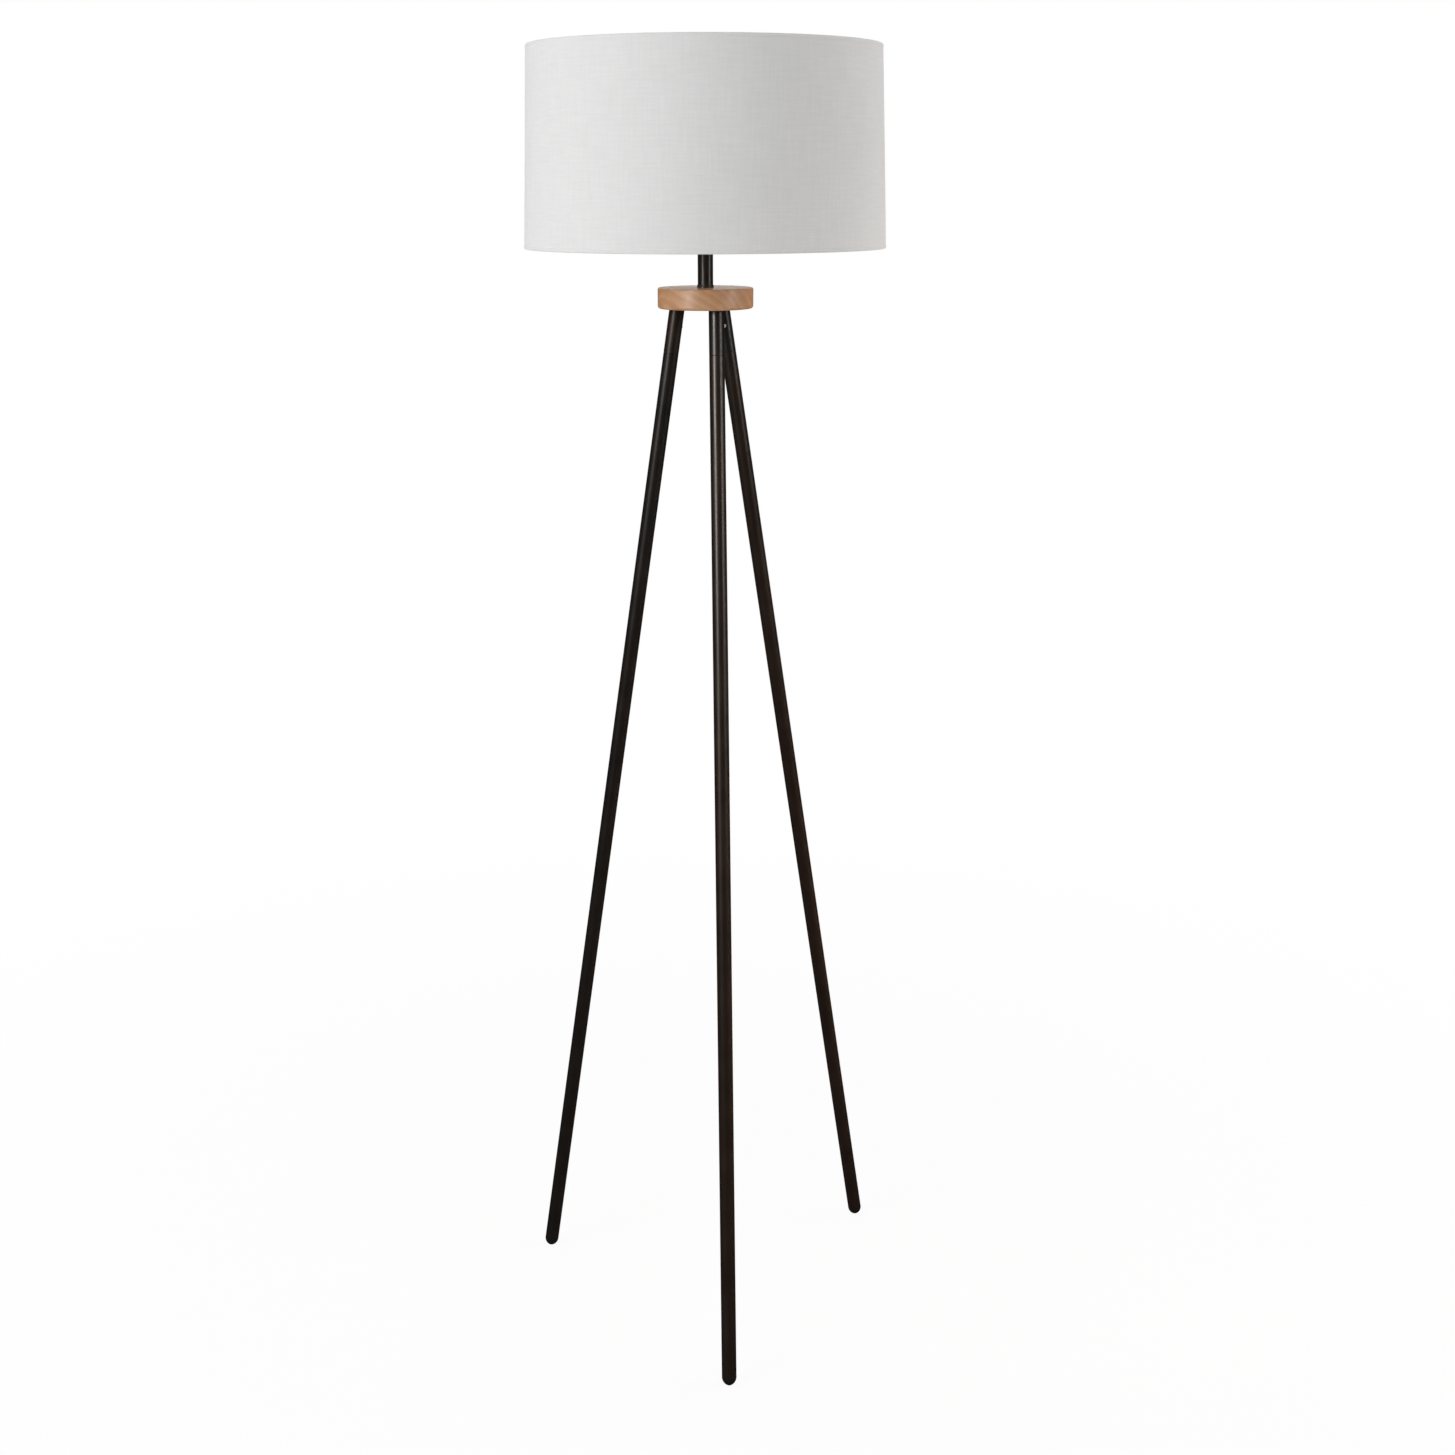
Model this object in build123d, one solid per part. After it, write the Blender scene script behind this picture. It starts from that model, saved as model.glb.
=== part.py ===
from build123d import *
import math
import os

# A tripod floor lamp: a linen drum shade on a harp, a lampholder and bulb, a short
# pole, a wooden hub disc and three splayed tube legs that screw onto stubs.
# Millimetres, +Z up, the floor at z = 0 and the pole's axis on x = y = 0.

# ---- Overall sizes ----
DISC_BOTTOM_Z = 1209.0     # underside of the wooden disc above the floor
SHADE_GAP = 42.5           # from the disc's top face to the shade's bottom edge
SHADE_HEIGHT = 211.0
SHADE_BOTTOM_R = 198.5
SHADE_TOP_R = 191.5

# ---- Wooden disc and the plate sunk into its underside ----
DISC_R = 53.0
DISC_THICKNESS = 22.5
DISC_BOTTOM_ROUND = 3.0
DISC_TOP_ROUND = 1.4
RECESS_DEPTH = 13.0        # from the disc's underside up to the plate's top face
PLATE_R = 43.5
PLATE_THICKNESS = 4.0
PLATE_SCREW_CIRCLE_R = 32.0
PLATE_SCREW_SHANK_R = 2.0
PLATE_SCREW_HEAD_R = 4.0
PLATE_SCREW_LENGTH = 11.5

# ---- Legs ----
LEG_R = 8.5
LEG_WALL = 1.2
LEG_TOP_CIRCLE_R = 31.7    # leg axes, level with the disc's underside
LEG_TOP_TURN = 16.6        # each leg's top is turned this far round from its foot
STUB_LENGTH = 50.0         # below the disc's underside
STUB_WALL = 2.0
SEAM_CHAMFER = 0.35
INSERT_LENGTH = 24.0
CONNECTOR_THREAD_R = 4.0
CONNECTOR_PLUG_LENGTH = 34.0
SET_SCREW_DOWN = 20.0      # along the stub from the disc's underside
SET_SCREW_TURN = 149.0     # round the stub from its outward direction
SET_SCREW_R = 2.2
SET_SCREW_KEY = 2.0
SET_SCREW_PROUD = 0.4
TIP_DOME_LENGTH = 10.6
TIP_PLUG_LENGTH = 18.0
TIP_WEAR = 0.5             # depth of the small flat that each tip stands on
# name: direction of the foot in degrees, and its distance from the pole's axis
FEET = {
    "front": (-84.8, 236.7),
    "left": (159.0, 223.9),
    "right": (38.2, 250.4),
}

# ---- Pole and the threaded pipe inside it ----
POLE_R = 8.5
POLE_WALL = 1.2
POLE_LENGTH = 53.5
SEAT_RING_R = 9.3
SEAT_RING_HEIGHT = 3.2
POLE_CAP_R = 9.2
POLE_CAP_THICKNESS = 3.0
POLE_CAP_LIP = 4.0
PIPE_R = 4.85
PIPE_WALL = 1.25
PIPE_BELOW_NUT = 0.8
WASHER_R = 11.0
WASHER_THICKNESS = 1.2
LOCK_WASHER_R = 8.2
LOCK_WASHER_THICKNESS = 1.2
LOCK_WASHER_GAP = 1.5
NUT_FLATS = 14.0
NUT_THICKNESS = 4.5
BUSHING_R = 6.6
BUSHING_FLANGE = 2.2
BUSHING_LENGTH = 10.0      # how far the bushing is pushed up the pipe
OUTLET_R = 2.9             # the hole that a cord would leave by
OUTLET_ROUND = 1.2

# ---- Harp ----
HARP_WIRE_R = 2.2
HARP_FOOT_X = 31.0
HARP_STRAIGHT = 42.0       # height of the straight feet above the saddle
HARP_WIDEST_X = 53.0
HARP_WIDEST_RISE = 80.0
HARP_HEIGHT = 165.0        # from the saddle's top face to the top wire's axis
HARP_BEND_R = 30.0
HARP_ARCH_R = 46.0
SADDLE_THICKNESS = 1.6
SADDLE_WIDTH = 12.0
SADDLE_REACH = 35.5
SADDLE_EAR_WIDTH = 8.0
SADDLE_EAR_HEIGHT = 11.0
SADDLE_NUT_THICKNESS = 4.0
SLEEVE_HEIGHT = 16.0
SLEEVE_WALL = 0.8
STUD_R = 3.15
STUD_SHOULDER_R = 4.8
STUD_LENGTH = 13.0
STUD_SHOULDER_UP = 4.0     # shoulder's top face above the top wire's axis

# ---- Finial ----
FINIAL_BASE_R = 7.0
FINIAL_NECK_R = 4.2
FINIAL_BALL_R = 6.2
FINIAL_BASE_HEIGHT = 3.5
FINIAL_HEIGHT = 21.0

# ---- Shade ----
FABRIC = 1.0
LINER = 0.5
RING_WIRE_R = 1.6
HEM_FLAP = 3.0
ARM_WIRE_R = 1.6
ARM_COUNT = 3
ARM_FIRST = 90.0
ARM_DIP_R = 150.0          # the arms run level out to here, then rise to the ring
ARM_BEND_R = 25.0
ARM_INTO_HUB = 2.0         # how far an arm's end is let into the hub's rim
SPIDER_HUB_R = 16.0
SPIDER_HUB_THICKNESS = 2.0

# ---- Lampholder ----
CAP_HUB_R = 7.0
CAP_R = 17.8
CAP_HUB_HEIGHT = 5.0
CAP_FLARE = 7.0            # height over which the cap widens
CAP_HEIGHT = 20.0
CAP_WALL = 0.8
PIPE_INTO_CAP = 9.0
CAP_SCREW_R = 1.5
SHELL_WALL = 0.5
SHELL_START = 14.0         # above the cap's lowest face
SHELL_HEIGHT = 42.0
PAPER = 0.6
BODY_HEIGHT = 15.5
SCREW_SHELL_WALL = 0.5
SCREW_SHELL_HEIGHT = 23.0
TONGUE_R = 4.5
TONGUE_THICKNESS = 1.0
TERMINAL_HEAD_R = 2.6
TERMINAL_HEAD_HEIGHT = 1.6
TERMINAL_POCKET = 4.0
TERMINAL_POCKET_WIDTH = 9.0
SWITCH_SHAFT_R = 1.5
SWITCH_SHAFT_DEPTH = 7.0   # how far the shaft reaches into the lampholder's body
SWITCH_SHAFT_LENGTH = 33.0
KNOB_R = 5.5
KNOB_LENGTH = 13.0
KNOB_WALL = 2.0
KNOB_FLUTES = 12
KNOB_FLUTE_R = 0.7

# ---- Bulb ----
BULB_BASE_R = 13.0
BULB_BASE_WALL = 0.5
BULB_BASE_HEIGHT = 22.0
BULB_TIP_R = 4.5
BULB_TIP_HEIGHT = 1.2
BULB_INSULATOR_HEIGHT = 3.0
BULB_R = 30.0
BULB_LENGTH = 108.0
BULB_GLASS = 0.9
BULB_NECK_TURN = 35.0      # how far below its equator the ball meets the neck's cone

# ---- Fits ----
FIXED_GAP = 0.05           # between pieces that are fixed together, on the radius
RUNNING_GAP = 0.05         # between a turning piece and what it turns in, on the radius
LOOSE_GAP = 0.3            # between pieces of two bodies that aren't a bearing
SLEEVE_GAP = 0.3
RECESS_GAP = 0.3

# ---- Levels, worked out from the sizes above ----
DISC_TOP_Z = DISC_BOTTOM_Z + DISC_THICKNESS
SHADE_BOTTOM_Z = DISC_TOP_Z + SHADE_GAP
SHADE_TOP_Z = SHADE_BOTTOM_Z + SHADE_HEIGHT
POLE_TOP_Z = DISC_TOP_Z + POLE_LENGTH
SADDLE_Z = POLE_TOP_Z + POLE_CAP_THICKNESS
SADDLE_TOP_Z = SADDLE_Z + SADDLE_THICKNESS
HOLDER_Z = SADDLE_TOP_Z + SADDLE_NUT_THICKNESS
PLATE_Z = DISC_BOTTOM_Z + RECESS_DEPTH - PLATE_THICKNESS
NUT_TOP_Z = PLATE_Z - WASHER_THICKNESS - LOCK_WASHER_THICKNESS
PIPE_BOTTOM_Z = NUT_TOP_Z - NUT_THICKNESS - PIPE_BELOW_NUT
PIPE_TOP_Z = HOLDER_Z + PIPE_INTO_CAP
BUSHING_Z = PIPE_BOTTOM_Z - BUSHING_FLANGE
HARP_TOP_Z = SADDLE_TOP_Z + HARP_HEIGHT
SHOULDER_Z = HARP_TOP_Z + STUD_SHOULDER_UP
SPIDER_Z = SHOULDER_Z + LOOSE_GAP
FINIAL_Z = SPIDER_Z + SPIDER_HUB_THICKNESS + LOOSE_GAP
PIPE_HOLE_R = PIPE_R + FIXED_GAP
SHELL_R = CAP_R - CAP_WALL - FIXED_GAP
PAPER_R = SHELL_R - SHELL_WALL - FIXED_GAP
BODY_R = PAPER_R - PAPER - FIXED_GAP
BODY_Z = HOLDER_Z + SHELL_START + CAP_WALL
BODY_TOP_Z = BODY_Z + BODY_HEIGHT
SCREW_SHELL_R = BULB_BASE_R + RUNNING_GAP + SCREW_SHELL_WALL
SWITCH_Z = BODY_Z + BODY_HEIGHT / 2
BULB_Z = BODY_TOP_Z + TONGUE_THICKNESS + LOOSE_GAP
BULB_BASE_Z = BULB_Z + BULB_TIP_HEIGHT + BULB_INSULATOR_HEIGHT
BULB_TOP_Z = BULB_Z + BULB_LENGTH
HEM_R = RING_WIRE_R + FIXED_GAP + FABRIC
WALL_LENGTH = math.hypot(SHADE_HEIGHT, SHADE_BOTTOM_R - SHADE_TOP_R)
BASE = (Align.CENTER, Align.CENTER, Align.MIN)
BIG = 400.0


def rod(radius, low, high):
    """A solid round bar on the pole's axis, from one level to another."""
    return Pos(0, 0, low) * Cylinder(radius, high - low, align=BASE)


def ring(outer, inner, low, high):
    """A round tube on the pole's axis."""
    return rod(outer, low, high) - rod(inner, low - 1, high + 1)


def hexagon(flats, low, high):
    """A hexagonal bar on the pole's axis, by the distance across its flats."""
    outline = RegularPolygon(flats / 2, 6, major_radius=False)
    return Pos(0, 0, low) * extrude(outline, high - low)


def turned(*points):
    """A solid of revolution about the pole's axis, from (radius, height) points."""
    outline = Polyline(*[(r, 0, z) for r, z in points], close=True)
    return revolve(make_face(outline), Axis.Z)


def foot_place(name):
    angle, distance = FEET[name]
    turn = math.radians(angle)
    return Vector(distance * math.cos(turn), distance * math.sin(turn), 0)


def leg_top_angle(name):
    return FEET[name][0] + LEG_TOP_TURN


def leg_frame(name):
    """A plane at the leg's top whose Z runs down the leg and whose X faces outward."""
    turn = math.radians(leg_top_angle(name))
    outward = Vector(math.cos(turn), math.sin(turn), 0)
    top = outward * LEG_TOP_CIRCLE_R + Vector(0, 0, DISC_BOTTOM_Z)
    down = (foot_place(name) - top).normalized()
    across = (outward - down * outward.dot(down)).normalized()
    return Plane(origin=top, x_dir=across, z_dir=down)


def leg_length(name):
    """From the disc's underside to the end of the tip, before its flat is worn."""
    frame = leg_frame(name)
    slope = -frame.z_dir.Z
    return (foot_place(name) - frame.origin).length + TIP_WEAR / slope


def below_plate():
    """All the space under the plate, which the stubs are welded to."""
    return Box(BIG, BIG, PLATE_Z, align=BASE)


def bar(radius, start, end):
    """A round bar along local Z, to be placed on a leg's frame."""
    return Pos(0, 0, start) * Cylinder(radius, end - start, align=BASE)


# ---- The hub ----
def plate_screw_angles():
    """Halfway between each leg and the next one round."""
    tops = sorted(leg_top_angle(name) % 360 for name in FEET)
    following = tops[1:] + [tops[0] + 360]
    return [(a + b) / 2 for a, b in zip(tops, following)]


def plate_screw_places():
    return [Rot(0, 0, a) * Pos(PLATE_SCREW_CIRCLE_R, 0, PLATE_Z) for a in plate_screw_angles()]


def screw_blank(gap):
    """A countersunk wood screw, head down, widened by a gap to make its own hole."""
    head = PLATE_SCREW_HEAD_R + gap
    shank = PLATE_SCREW_SHANK_R + gap
    depth = PLATE_SCREW_HEAD_R - PLATE_SCREW_SHANK_R
    tip = PLATE_SCREW_LENGTH + gap
    return turned((0, 0), (head, 0), (shank, depth), (shank, tip - 2 * shank), (0, tip))


def wood_disc():
    disc = rod(DISC_R, DISC_BOTTOM_Z, DISC_TOP_Z)
    rims = disc.edges().filter_by(GeomType.CIRCLE).sort_by(Axis.Z)
    disc = fillet(rims[0], DISC_BOTTOM_ROUND)
    rims = disc.edges().filter_by(GeomType.CIRCLE).sort_by(Axis.Z)
    disc = fillet(rims[-1], DISC_TOP_ROUND)
    disc -= rod(PLATE_R + RECESS_GAP, DISC_BOTTOM_Z - 1, DISC_BOTTOM_Z + RECESS_DEPTH)
    disc -= rod(PIPE_R + RECESS_GAP, DISC_BOTTOM_Z, DISC_TOP_Z + 1)
    for place in plate_screw_places():
        disc -= place * screw_blank(FIXED_GAP)
    return disc


def hub_plate():
    plate = ring(PLATE_R, PIPE_R + RECESS_GAP, PLATE_Z, PLATE_Z + PLATE_THICKNESS)
    for place in plate_screw_places():
        plate -= place * screw_blank(FIXED_GAP)
    return plate


def plate_screws():
    slot_width = 1.0
    slot_depth = 1.4
    slot = Box(2 * PLATE_SCREW_SHANK_R + 1.0, slot_width, 2 * slot_depth)
    screw = screw_blank(0) - slot - Rot(0, 0, 90) * slot
    return [place * screw for place in plate_screw_places()]


# ---- Legs ----
def stub_bore_r():
    return LEG_R - STUB_WALL


def set_screw_place():
    """On the stub's wall, its Z pointing out of the wall."""
    return Rot(0, 0, SET_SCREW_TURN) * Pos(LEG_R, 0, SET_SCREW_DOWN) * Rot(0, 90, 0)


def leg_stub(name):
    start = -RECESS_DEPTH - 2 * LEG_R
    tube = bar(LEG_R, start, STUB_LENGTH)
    lower_rim = tube.edges().filter_by(GeomType.CIRCLE).sort_by(Axis.Z)[-1]
    tube = chamfer(lower_rim, SEAM_CHAMFER)
    tube -= bar(stub_bore_r(), start - 1, STUB_LENGTH + 1)
    hole = Pos(0, 0, -2 * STUB_WALL) * Cylinder(SET_SCREW_R + FIXED_GAP, 6 * STUB_WALL, align=BASE)
    tube -= set_screw_place() * hole
    return (leg_frame(name) * tube) & below_plate()


def set_screw(name):
    length = STUB_WALL + SET_SCREW_PROUD
    body = Pos(0, 0, -STUB_WALL) * Cylinder(SET_SCREW_R, length, align=BASE)
    body = chamfer(body.edges().filter_by(GeomType.CIRCLE).sort_by(Axis.Z)[-1], SET_SCREW_PROUD / 2)
    key = extrude(RegularPolygon(SET_SCREW_KEY / 2, 6, major_radius=False), length)
    body -= Pos(0, 0, -STUB_WALL / 2) * key
    return leg_frame(name) * set_screw_place() * body


def leg_connector(name):
    """The turned joint inside a leg: a plug in the stub and a thread in the tube."""
    plug_end = STUB_LENGTH - CONNECTOR_PLUG_LENGTH
    # The plug is clear of the set screw's inner end, which bears in a shallow flat.
    solid = bar(stub_bore_r() - FIXED_GAP, plug_end, STUB_LENGTH)
    solid += bar(CONNECTOR_THREAD_R, STUB_LENGTH, STUB_LENGTH + INSERT_LENGTH - 2)
    flat = Pos(0, 0, -STUB_WALL - FIXED_GAP) * Cylinder(SET_SCREW_R + FIXED_GAP, LEG_R, align=BASE)
    solid -= set_screw_place() * flat
    return leg_frame(name) * solid


def leg_insert(name):
    """The threaded bush fixed in the top of a leg tube."""
    solid = bar(LEG_R - LEG_WALL - FIXED_GAP, STUB_LENGTH, STUB_LENGTH + INSERT_LENGTH)
    solid -= bar(CONNECTOR_THREAD_R + FIXED_GAP, STUB_LENGTH - 1, STUB_LENGTH + INSERT_LENGTH + 1)
    return leg_frame(name) * solid


def tube_end(name):
    return leg_length(name) - TIP_DOME_LENGTH


def leg_tube(name):
    end = tube_end(name)
    tube = bar(LEG_R, STUB_LENGTH, end)
    upper_rim = tube.edges().filter_by(GeomType.CIRCLE).sort_by(Axis.Z)[0]
    tube = chamfer(upper_rim, SEAM_CHAMFER)
    tube -= bar(LEG_R - LEG_WALL, STUB_LENGTH - 1, end + 1)
    return leg_frame(name) * tube


def foot_tip(name):
    """A domed plastic tip with a plug that is pushed into the tube."""
    plug_r = LEG_R - LEG_WALL - FIXED_GAP
    sides = Polyline(
        (0, TIP_DOME_LENGTH), (0, -TIP_PLUG_LENGTH), (plug_r, -TIP_PLUG_LENGTH), (plug_r, 0), (LEG_R, 0)
    )
    # The dome's arc leaves the tube's wall smoothly and ends on the leg's axis.
    arc_r = (LEG_R**2 + TIP_DOME_LENGTH**2) / (2 * LEG_R)
    half_turn = math.asin(TIP_DOME_LENGTH / arc_r) / 2
    middle = (LEG_R - arc_r + arc_r * math.cos(half_turn), arc_r * math.sin(half_turn))
    dome = ThreePointArc((LEG_R, 0), middle, (0, TIP_DOME_LENGTH))
    tip = revolve(make_face(Plane.XZ * Curve([sides, dome])), Axis.Z)
    placed = leg_frame(name) * Pos(0, 0, tube_end(name)) * tip
    floor = Box(2 * BIG, 2 * BIG, BIG, align=(Align.CENTER, Align.CENTER, Align.MAX))
    return placed - floor


# ---- Pole, pipe and what clamps them to the disc ----
def pole_tube():
    return ring(POLE_R, POLE_R - POLE_WALL, DISC_TOP_Z, POLE_TOP_Z)


def seat_ring():
    collar = ring(SEAT_RING_R, POLE_R + FIXED_GAP, DISC_TOP_Z, DISC_TOP_Z + SEAT_RING_HEIGHT)
    width = SEAT_RING_R - POLE_R - FIXED_GAP
    top = collar.edges().filter_by(GeomType.CIRCLE).group_by(Axis.Z)[-1].sort_by(SortBy.RADIUS)[-1]
    return chamfer(top, SEAT_RING_HEIGHT * 0.6, width * 0.7)


def pole_cap():
    cap = rod(POLE_CAP_R, POLE_TOP_Z, SADDLE_Z)
    cap += rod(POLE_R - POLE_WALL - FIXED_GAP, POLE_TOP_Z - POLE_CAP_LIP, POLE_TOP_Z)
    return cap - rod(PIPE_HOLE_R, POLE_TOP_Z - POLE_CAP_LIP - 1, SADDLE_Z + 1)


def threaded_pipe():
    return ring(PIPE_R, PIPE_R - PIPE_WALL, PIPE_BOTTOM_Z, PIPE_TOP_Z)


def hub_washer():
    return ring(WASHER_R, PIPE_HOLE_R, PLATE_Z - WASHER_THICKNESS, PLATE_Z)


def hub_lock_washer():
    high = PLATE_Z - WASHER_THICKNESS
    split = Box(LOCK_WASHER_GAP, 2 * LOCK_WASHER_R, 4 * LOCK_WASHER_THICKNESS)
    washer = ring(LOCK_WASHER_R, PIPE_HOLE_R, high - LOCK_WASHER_THICKNESS, high)
    return washer - Pos(0, LOCK_WASHER_R, high) * split


def hex_nut(low, high):
    """A nut with its corners turned off on both faces."""
    corner_r = NUT_FLATS / math.sqrt(3)
    bevel = corner_r - NUT_FLATS / 2
    rise = bevel * 0.6
    round_off = turned(
        (0, low), (corner_r - bevel, low), (corner_r, low + rise),
        (corner_r, high - rise), (corner_r - bevel, high), (0, high),
    )
    return (hexagon(NUT_FLATS, low, high) & round_off) - rod(PIPE_HOLE_R, low - 1, high + 1)


def hub_nut():
    return hex_nut(NUT_TOP_Z - NUT_THICKNESS, NUT_TOP_Z)


def cord_bushing():
    """A plastic outlet pushed up the pipe's end, with a flange and a rounded mouth."""
    body = ring(BUSHING_R, OUTLET_R, BUSHING_Z, PIPE_BOTTOM_Z)
    rims = body.edges().filter_by(GeomType.CIRCLE).group_by(Axis.Z)[0].sort_by(SortBy.RADIUS)
    body = fillet(rims[0], OUTLET_ROUND)
    rims = body.edges().filter_by(GeomType.CIRCLE).group_by(Axis.Z)[0].sort_by(SortBy.RADIUS)
    body = fillet(rims[-1], OUTLET_ROUND)
    sleeve_r = PIPE_R - PIPE_WALL - FIXED_GAP
    return body + ring(sleeve_r, OUTLET_R, PIPE_BOTTOM_Z, PIPE_BOTTOM_Z + BUSHING_LENGTH)


# ---- Harp ----
def harp_saddle():
    strip = Pos(0, 0, SADDLE_Z) * Box(2 * SADDLE_REACH, SADDLE_WIDTH, SADDLE_THICKNESS, align=BASE)
    strip = fillet(strip.edges().filter_by(Axis.Z), SADDLE_WIDTH / 3)
    for side in (-1, 1):
        ear = Box(SADDLE_THICKNESS, SADDLE_EAR_WIDTH, SADDLE_EAR_HEIGHT, align=BASE)
        strip += Pos(side * ear_x(), 0, SADDLE_TOP_Z) * ear
    return strip - rod(PIPE_HOLE_R, SADDLE_Z - 1, SADDLE_TOP_Z + 1)


def ear_x():
    """The middle of an ear, just inside the harp's wire."""
    return HARP_FOOT_X - HARP_WIRE_R - FIXED_GAP - SADDLE_THICKNESS / 2


def saddle_nut():
    return hex_nut(SADDLE_TOP_Z, HOLDER_Z)


def harp_bow():
    foot_z = SADDLE_TOP_Z + FIXED_GAP
    half = [
        (HARP_FOOT_X, 0, foot_z),
        (HARP_FOOT_X, 0, SADDLE_TOP_Z + HARP_STRAIGHT),
        (HARP_WIDEST_X, 0, SADDLE_TOP_Z + HARP_WIDEST_RISE),
        (HARP_WIDEST_X, 0, HARP_TOP_Z),
    ]
    points = half + [(-x, y, z) for x, y, z in reversed(half)]
    bends = [HARP_BEND_R, HARP_BEND_R, HARP_ARCH_R]
    path = FilletPolyline(*points, radius=bends + bends[::-1])
    section = Plane(origin=half[0], z_dir=(0, 0, 1)) * Circle(HARP_WIRE_R)
    return sweep(section, path=path)


def harp_stud():
    """The threaded stud riveted through the top of the harp."""
    stud = rod(STUD_SHOULDER_R, HARP_TOP_Z - HARP_WIRE_R - 1, SHOULDER_Z)
    stud += rod(STUD_R, SHOULDER_Z, SHOULDER_Z + STUD_LENGTH)
    wire = Pos(0, 0, HARP_TOP_Z) * Rot(0, 90, 0) * Cylinder(HARP_WIRE_R, 4 * STUD_SHOULDER_R)
    return stud - wire


def harp_sleeve(side):
    """A collar that drops over a harp foot and a saddle ear to lock them."""
    inner_x = ear_x() - SADDLE_THICKNESS / 2 - SLEEVE_GAP
    outer_x = HARP_FOOT_X + HARP_WIRE_R + SLEEVE_GAP
    hole_length = outer_x - inner_x
    hole_width = SADDLE_EAR_WIDTH + 2 * SLEEVE_GAP
    corner = SLEEVE_GAP
    hole = RectangleRounded(hole_length, hole_width, corner)
    both_walls = 2 * SLEEVE_WALL
    wall = RectangleRounded(hole_length + both_walls, hole_width + both_walls, corner + both_walls)
    collar = extrude(wall - hole, SLEEVE_HEIGHT)
    return Pos(side * (inner_x + outer_x) / 2, 0, SADDLE_TOP_Z + LOOSE_GAP) * collar


def finial():
    """A turned finial: a base, a waist and a ball, with a blind threaded hole."""
    low = FINIAL_Z
    shoulder = low + FINIAL_BASE_HEIGHT
    ball_z = low + FINIAL_HEIGHT - FINIAL_BALL_R
    neck_z = ball_z - math.sqrt(FINIAL_BALL_R**2 - FINIAL_NECK_R**2)
    outline = Polyline(
        (0, ball_z + FINIAL_BALL_R), (0, low), (FINIAL_BASE_R, low),
        (FINIAL_BASE_R, shoulder - 1), (FINIAL_NECK_R, shoulder + 1.5), (FINIAL_NECK_R, neck_z),
    )
    ball = ThreePointArc(
        (FINIAL_NECK_R, neck_z), (FINIAL_BALL_R, ball_z), (0, ball_z + FINIAL_BALL_R)
    )
    body = revolve(make_face(Plane.XZ * Curve([outline, ball])), Axis.Z)
    return body - rod(STUD_R + RUNNING_GAP, low - 1, SHOULDER_Z + STUD_LENGTH + 1)


# ---- Shade ----
def wall_plane():
    """Local X runs up the shade's outer face from its bottom edge, local Y inward."""
    lean = SHADE_TOP_R - SHADE_BOTTOM_R
    return Plane(origin=(SHADE_BOTTOM_R, 0, SHADE_BOTTOM_Z), x_dir=(lean, 0, SHADE_HEIGHT), z_dir=(0, -1, 0))


def shade_fabric():
    """The linen, rolled round both wire rings, as one closed shell."""
    near = RING_WIRE_R + FIXED_GAP
    ends = (HEM_R, WALL_LENGTH - HEM_R)
    edges = [Line((ends[0], 0), (ends[1], 0)), Line((ends[0], FABRIC), (ends[1], FABRIC))]
    for start, away in ((ends[0], -1), (ends[1], 1)):
        for radius in (near, HEM_R):
            low = (start, HEM_R - radius)
            far = (start + away * radius, HEM_R)
            high = (start, HEM_R + radius)
            edges.append(ThreePointArc(low, far, high))
            edges.append(Line(high, (start - away * HEM_FLAP, HEM_R + radius)))
        flap = start - away * HEM_FLAP
        edges.append(Line((flap, HEM_R + near), (flap, 2 * HEM_R)))
    shell = revolve(make_face(wall_plane() * Curve(edges)), Axis.Z)
    # Each arm of the spider reaches its ring through a notch in the rolled edge.
    for index in range(ARM_COUNT):
        shell -= arm_wire(index, ARM_WIRE_R + LOOSE_GAP, 0)
    return shell


def shade_liner():
    """The stiff backing between the two rings."""
    margin = 2 * HEM_R + FIXED_GAP
    middle = Pos(WALL_LENGTH / 2, FABRIC + FIXED_GAP + LINER / 2)
    strip = middle * Rectangle(WALL_LENGTH - 2 * margin, LINER)
    return revolve(wall_plane() * strip, Axis.Z)


def ring_centre(along):
    return wall_plane().from_local_coords(Vector(along, HEM_R, 0))


def wire_ring(along):
    centre = ring_centre(along)
    return Pos(0, 0, centre.Z) * Torus(centre.X, RING_WIRE_R)


def shade_top_ring():
    return wire_ring(WALL_LENGTH - HEM_R)


def shade_bottom_ring():
    return wire_ring(HEM_R)


def spider_hub():
    return ring(SPIDER_HUB_R, STUD_R + LOOSE_GAP, SPIDER_Z, SPIDER_Z + SPIDER_HUB_THICKNESS)


def arm_wire(index, radius, start_r):
    """One arm's wire: level from the hub, then up to the top ring's middle."""
    level = SPIDER_Z + SPIDER_HUB_THICKNESS / 2
    end = ring_centre(WALL_LENGTH - HEM_R)
    path = FilletPolyline((start_r, 0, level), (ARM_DIP_R, 0, level), (end.X, 0, end.Z), radius=ARM_BEND_R)
    section = Plane(origin=(start_r, 0, level), z_dir=(1, 0, 0)) * Circle(radius)
    return Rot(0, 0, ARM_FIRST + index * 360 / ARM_COUNT) * sweep(section, path=path)


def spider_arm(index):
    arm = arm_wire(index, ARM_WIRE_R, SPIDER_HUB_R - ARM_INTO_HUB)
    return arm - spider_hub() - shade_top_ring()


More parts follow.
